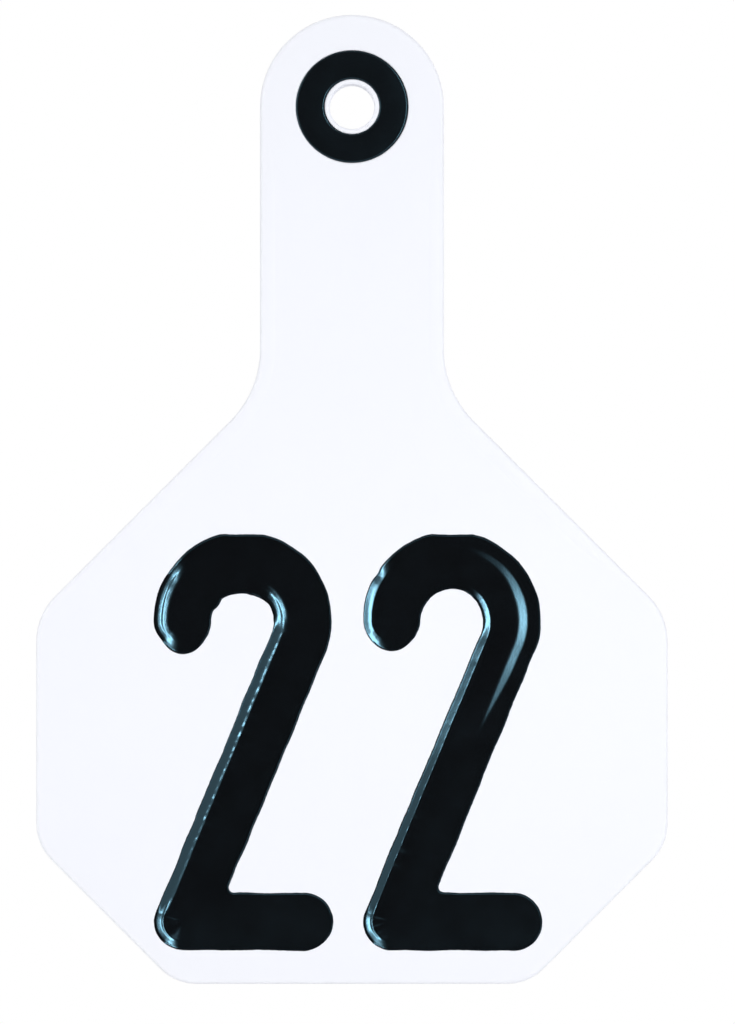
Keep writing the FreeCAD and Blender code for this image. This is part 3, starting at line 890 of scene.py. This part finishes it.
# %% Outline of the panel
NECK_LENGTH = 34.3 * MM
SHOULDER_Z = -61.3 * MM
SIDE_FOOT_Z = -89.0 * MM
CORNER_CUT = 16.8 * MM
ARMPIT_ROUND = 12.2 * MM
SHOULDER_ROUND = 7.8 * MM
SIDE_ROUND = 6.2 * MM
FOOT_ROUND = 6.0 * MM
RIM_ROUND = 0.45 * MM
PANEL_STEP = 1.0 * MM
FLAT_MARGIN = 0.2 * MM


def panel_corners():
    """The outline's sharp corners with their radii, anticlockwise from the crown."""
    right = [
        (half_neck, half_neck, half_neck),
        (half_neck, -NECK_LENGTH, ARMPIT_ROUND),
        (half_panel, SHOULDER_Z, SHOULDER_ROUND),
        (half_panel, SIDE_FOOT_Z, SIDE_ROUND),
        (half_panel - CORNER_CUT, bottom_z, FOOT_ROUND),
    ]
    left = [(-x, z, radius) for x, z, radius in right]
    return [right[0]] + left + right[:0:-1]


panel_steps = walk_polygon(panel_corners(), PANEL_STEP)
print("panel outline has", len(panel_steps), "steps")


# %% Section of the rim
def rim_profile():
    """(inset, y) from the back flat, round the rim, to the front flat."""
    arcs = 6
    profile = [(RIM_ROUND + FLAT_MARGIN, 0)]
    for step in range(arcs + 1):
        angle = math.pi / 2 * step / arcs
        profile.append((RIM_ROUND * (1 - math.sin(angle)),
                        -RIM_ROUND * (1 - math.cos(angle))))
    for step in range(arcs + 1):
        angle = math.pi / 2 * step / arcs
        profile.append((RIM_ROUND * (1 - math.cos(angle)),
                        face_y + RIM_ROUND * (1 - math.sin(angle))))
    return profile + [(RIM_ROUND + FLAT_MARGIN, face_y)]


# %% Section of the hub
BORE = 2.7 * MM
BORE_ROUND = 0.3 * MM
COLLAR = 3.3 * MM
SEAT = 6.79 * MM
BOSS = 7.99 * MM
BOSS_ROUND = 0.6 * MM
HUB_EDGE = 0.1 * MM
SEAT_FLAT = 0.25 * MM
HUB_FLAT = 0.6 * MM
BACK_FLAT = 1.0 * MM
HUB_SIDES = 120
seat_y = ring_high.y


def quarter(centre_r, centre_y, radius, start, stop, pieces=6):
    """Points (r, y) on an arc, with angles in degrees from the +r axis towards +y."""
    points = []
    for piece in range(pieces + 1):
        angle = math.radians(start + (stop - start) * piece / pieces)
        points.append((centre_r + radius * math.cos(angle),
                       centre_y + radius * math.sin(angle)))
    return points


def hub_profile():
    """(r, y) from the front flat, down the seat, over the collar, through the bore, to the back."""
    profile = [(SEAT + HUB_FLAT, face_y), (SEAT + SEAT_FLAT, face_y)]
    profile += quarter(SEAT + HUB_EDGE, face_y + HUB_EDGE, HUB_EDGE, 270, 180, 3)
    profile += [(SEAT, seat_y), (SEAT - HUB_EDGE, seat_y)]
    profile += [(COLLAR + HUB_EDGE, seat_y), (COLLAR, seat_y)]
    profile += quarter(COLLAR - HUB_EDGE, face_y + HUB_EDGE, HUB_EDGE, 0, -90, 3)
    profile += quarter(BORE + BORE_ROUND, face_y + BORE_ROUND, BORE_ROUND, 270, 180)
    profile += quarter(BORE + BORE_ROUND, boss_y - BORE_ROUND, BORE_ROUND, 180, 90)
    profile += [(BORE + BACK_FLAT, boss_y), (BOSS - BACK_FLAT, boss_y)]
    profile += quarter(BOSS - BOSS_ROUND, boss_y - BOSS_ROUND, BOSS_ROUND, 90, 0)
    profile += quarter(BOSS + BOSS_ROUND, BOSS_ROUND, BOSS_ROUND, 180, 270)
    return profile + [(BOSS + BOSS_ROUND + FLAT_MARGIN, 0)]


# %% Build the panel
LIP = [(0.52, 0.0), (0.42, 0.004), (0.31, 0.017), (0.2, 0.026), (0.1, 0.022), (0.0, 0.0)]


def make_panel():
    """The whole white moulding but for its beads."""
    loft = Loft()
    rims = [loft.loop([((point - out * inset).x, y, (point - out * inset).y)
                       for point, out in panel_steps]) for inset, y in rim_profile()]
    for back, front in zip(rims, rims[1:]):
        loft.stitch(back, front)

    turns = []
    for radius, y in hub_profile():
        circle = [around(Vector((0, 0)), radius, 2 * math.pi * side / HUB_SIDES)
                  for side in range(HUB_SIDES)]
        turns.append(loft.loop([(spot.x, y, spot.y) for spot in circle]))
    for outer, inner in zip(turns, turns[1:]):
        loft.stitch(outer, inner)

    holes = [turns[0]]
    for name, (_, high) in numeral_boxes.items():
        loops = []
        for reach, rise in LIP:
            spots = [point + out * (stray + reach * MM)
                     for point, out, _, _, stray in outlines[name]]
            loops.append(loft.loop([(spot.x, face_y - rise * MM, spot.y) for spot in spots]))
        # the last of the lip's loops is the outline itself, and the wall drops straight from it
        loops.append(loft.loop([(spot.x, high.y, spot.y) for spot in spots]))
        for outer, inner in zip(loops, loops[1:]):
            loft.stitch(outer, inner)
        loft.fill(loops[-1], [])
        holes.append(loops[0])
    loft.fill(rims[-1], holes)
    loft.fill(rims[0], [turns[-1]], front=False)
    return loft.make("panel_moulding", white)


panel = make_panel()


# %% [markdown]
# ## Bead
# A very low bead stiffens both sides of the neck and runs out along the shoulders. It
# follows a path, so it suits Geometry Nodes: the path is a curve, Curve to Mesh sweeps a
# section along it, and a Scale that falls to nothing at both ends makes it fade out. The
# section is a shallow arc closed by its chord, which lies just under the panel's face.

# %% Path of the bead
BEAD_WIDTH = 1.5 * MM
BEAD_INSET = RIM_ROUND + BEAD_WIDTH / 2
BEAD_TOP_Z = -2.0 * MM
BEAD_FOOT_Z = -58.2 * MM
BEAD_FADE = 9.0 * MM
BEAD_RISE = 0.05 * MM
BEAD_SUNK = 0.02 * MM


def bead_path(side):
    """The bead's middle line on one side, as an open poly curve lying in the face."""
    spots = [point - out * BEAD_INSET for point, out in panel_steps]
    spots = [spot for spot in spots
             if spot.x * side > 0 and BEAD_FOOT_Z < spot.y < BEAD_TOP_Z]
    spots.sort(key=lambda spot: -spot.y)
    curve = bpy.data.curves.new("bead_path", "CURVE")
    curve.dimensions = "3D"
    spline = curve.splines.new("POLY")
    spline.points.add(len(spots) - 1)
    for index, spot in enumerate(spots):
        spline.points[index].co = (spot.x, face_y + BEAD_SUNK, spot.y, 1)
    path = bpy.data.objects.new("bead_path", curve)
    bpy.context.scene.collection.objects.link(path)
    return path


# %% Geometry Nodes helpers
def new_tree(name, inputs):
    """An empty geometry tree with named inputs; gives the tree and its two end nodes."""
    tree = bpy.data.node_groups.new(name, "GeometryNodeTree")
    tree.interface.new_socket("Geometry", in_out="INPUT", socket_type="NodeSocketGeometry")
    for label, (kind, value) in inputs.items():
        socket = tree.interface.new_socket(label, in_out="INPUT", socket_type=kind)
        if value is not None:
            socket.default_value = value
    tree.interface.new_socket("Geometry", in_out="OUTPUT", socket_type="NodeSocketGeometry")
    return tree, tree.nodes.new("NodeGroupInput"), tree.nodes.new("NodeGroupOutput")


def place_node(tree, kind, settings=None, sockets=None):
    """Adds one node: settings first, then the values or links of its sockets."""
    node = tree.nodes.new(kind)
    for name, value in (settings or {}).items():
        setattr(node, name, value)
    for key, value in (sockets or {}).items():
        if isinstance(value, bpy.types.NodeSocket):
            tree.links.new(value, node.inputs[key])
        else:
            node.inputs[key].default_value = value
    return node


def end_tree(tree, geometry, material_socket, end):
    """Finishes a tree with Realize Instances and Set Material."""
    solid = place_node(tree, "GeometryNodeRealizeInstances", None, {"Geometry": geometry})
    painted = place_node(tree, "GeometryNodeSetMaterial", None,
                         {"Geometry": solid.outputs[0], "Material": material_socket})
    tree.links.new(painted.outputs[0], end.inputs[0])


def apply_tree(host, tree, values, name):
    """Runs the tree on host with its inputs set, and gives the result as a plain object."""
    modifier = host.modifiers.new(name, "NODES")
    modifier.node_group = tree
    for item in tree.interface.items_tree:
        if item.in_out == "INPUT" and item.name in values:
            modifier[item.identifier] = values[item.name]
    bpy.context.view_layer.update()
    graph = bpy.context.evaluated_depsgraph_get()
    mesh = bpy.data.meshes.new_from_object(host.evaluated_get(graph))
    mesh.name = name
    host.modifiers.remove(modifier)
    bpy.data.objects.remove(host)
    piece = bpy.data.objects.new(name, mesh)
    bpy.context.scene.collection.objects.link(piece)
    print(name, "has", len(mesh.vertices), "points and", len(mesh.polygons), "faces")
    return piece


# %% Tree of the bead
def bead_tree():
    """Sweeps a shallow arc along a curve and lets it fade at both ends."""
    tree, start, end = new_tree("bead", {
        "Arc Radius": ("NodeSocketFloat", 1.0), "Arc Start": ("NodeSocketFloat", 1.0),
        "Arc Sweep": ("NodeSocketFloat", 1.0), "Arc Drop": ("NodeSocketFloat", 1.0),
        "Fade": ("NodeSocketFloat", 1.0), "Material": ("NodeSocketMaterial", None)})
    into = start.outputs
    arc = place_node(tree, "GeometryNodeCurveArc", {"mode": "RADIUS"}, {
        "Resolution": 24, "Radius": into["Arc Radius"], "Start Angle": into["Arc Start"],
        "Sweep Angle": into["Arc Sweep"]})
    drop = place_node(tree, "ShaderNodeCombineXYZ", None, {"X": into["Arc Drop"]})
    lowered = place_node(tree, "GeometryNodeTransform", None,
                         {"Geometry": arc.outputs[0], "Translation": drop.outputs[0]})
    section = place_node(tree, "GeometryNodeSetSplineCyclic", None,
                         {"Geometry": lowered.outputs[0], "Cyclic": True})
    place = place_node(tree, "GeometryNodeSplineParameter")
    whole = place_node(tree, "GeometryNodeCurveLength", None, {"Curve": into["Geometry"]})
    left = place_node(tree, "ShaderNodeMath", {"operation": "SUBTRACT"},
                      {0: whole.outputs[0], 1: place.outputs["Length"]})
    near = place_node(tree, "ShaderNodeMath", {"operation": "MINIMUM"},
                      {0: left.outputs[0], 1: place.outputs["Length"]})
    rise = place_node(tree, "ShaderNodeMapRange", {"interpolation_type": "SMOOTHSTEP"},
                      {"Value": near.outputs[0], "From Max": into["Fade"], "To Min": 0.02})
    upright = place_node(tree, "GeometryNodeSetCurveNormal", {"mode": "FREE"},
                         {"Curve": into["Geometry"], "Normal": (0, -1, 0)})
    swept = place_node(tree, "GeometryNodeCurveToMesh", None, {
        "Curve": upright.outputs[0], "Profile Curve": section.outputs[0],
        "Scale": rise.outputs["Result"], "Fill Caps": True})
    end_tree(tree, swept.outputs[0], into["Material"], end)
    return tree


# %% Sweep both beads
def make_bead(side, name):
    """One bead, faces outwards."""
    tall = BEAD_RISE + BEAD_SUNK
    radius = BEAD_WIDTH ** 2 / (8 * tall) + tall / 2
    half_sweep = math.asin(BEAD_WIDTH / 2 / radius)
    values = {"Arc Radius": radius, "Arc Start": -half_sweep,
              "Arc Sweep": 2 * half_sweep, "Arc Drop": tall - radius, "Fade": BEAD_FADE,
              "Material": white}
    return apply_tree(bead_path(side), bead_tree(), values, name)


beads = [make_bead(1, "bead_right"), make_bead(-1, "bead_left")]


# %% [markdown]
# ## Ring
# The ring is turned from one rule: a rounded rectangle carried round a circle. Geometry
# Nodes has every step of it, Quadrilateral, Fillet Curve, Curve Circle and Curve to Mesh.

# %% Tree of the ring
def ring_tree():
    """A washer about the Y axis, with all four edges of its section rounded."""
    tree, start, end = new_tree("ring", {
        "Middle Radius": ("NodeSocketFloat", 1.0), "Width": ("NodeSocketFloat", 1.0),
        "Thickness": ("NodeSocketFloat", 1.0), "Edge Round": ("NodeSocketFloat", 1.0),
        "Middle Y": ("NodeSocketFloat", 0.0), "Material": ("NodeSocketMaterial", None)})
    into = start.outputs
    section = place_node(tree, "GeometryNodeCurvePrimitiveQuadrilateral", None,
                         {"Width": into["Width"], "Height": into["Thickness"]})
    rounded = place_node(tree, "GeometryNodeFilletCurve", {"mode": "POLY"},
                         {"Curve": section.outputs[0], "Count": 8,
                          "Radius": into["Edge Round"], "Limit Radius": True})
    circle = place_node(tree, "GeometryNodeCurvePrimitiveCircle", {"mode": "RADIUS"},
                        {"Resolution": 160, "Radius": into["Middle Radius"]})
    swept = place_node(tree, "GeometryNodeCurveToMesh", None,
                       {"Curve": circle.outputs[0], "Profile Curve": rounded.outputs[0]})
    shift = place_node(tree, "ShaderNodeCombineXYZ", None, {"Y": into["Middle Y"]})
    stood = place_node(tree, "GeometryNodeTransform", None, {
        "Geometry": swept.outputs[0], "Rotation": (math.pi / 2, 0, 0),
        "Translation": shift.outputs[0]})
    end_tree(tree, stood.outputs[0], into["Material"], end)
    return tree


# %% Turn the ring
RING_INNER = 3.32 * MM
RING_EDGE = 0.25 * MM
ring_outer = ring_high.x


def make_ring():
    """The hard black ring, from its box in the frame."""
    host_mesh = bpy.data.meshes.new("ring_host")
    host = bpy.data.objects.new("ring_host", host_mesh)
    bpy.context.scene.collection.objects.link(host)
    values = {"Middle Radius": (ring_outer + RING_INNER) / 2, "Width": ring_outer - RING_INNER,
              "Thickness": ring_high.y - ring_low.y, "Edge Round": RING_EDGE,
              "Middle Y": (ring_high.y + ring_low.y) / 2, "Material": hard_black}
    return apply_tree(host, ring_tree(), values, "ring")


ring = make_ring()


# %% [markdown]
# ## Shading of edges
# A smooth-shaded mesh blurs across sharp edges. Each piece here already has a rounded edge
# wherever the real one does, so only edges that turn by more than 40 degrees stay crisp.

# %% Smooth the pieces
CRISP = math.radians(40)


def smooth(piece):
    """Marks faces smooth and steep edges sharp."""
    mesh = piece.data
    mesh.polygons.foreach_set("use_smooth", [True] * len(mesh.polygons))
    mesh.set_sharp_from_angle(angle=CRISP)


pieces = {"panel": panel, "bead_right": beads[0], "bead_left": beads[1], "ring": ring}
pieces.update(numerals)
for piece in pieces.values():
    smooth(piece)


# %% [markdown]
# ## Joining the frame
# Nothing on the tag moves, so every piece rides on the one body. Each is listed with the solid it
# stands for, which is then hidden, and with a finish name that nothing reads.

# %% Ride on the body and hide the solids
stands_for = {
    "panel": ("tag_panel", "white_moulding"),
    "bead_right": ("tag_panel", "white_moulding"),
    "bead_left": ("tag_panel", "white_moulding"),
    "ring": ("hub_ring", "black_insert"),
    "numeral_left": ("numeral_left", "black_ink"),
    "numeral_right": ("numeral_right", "black_ink"),
}
for key, (node, slot) in stands_for.items():
    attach(pieces[key], "root")
    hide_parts(node)
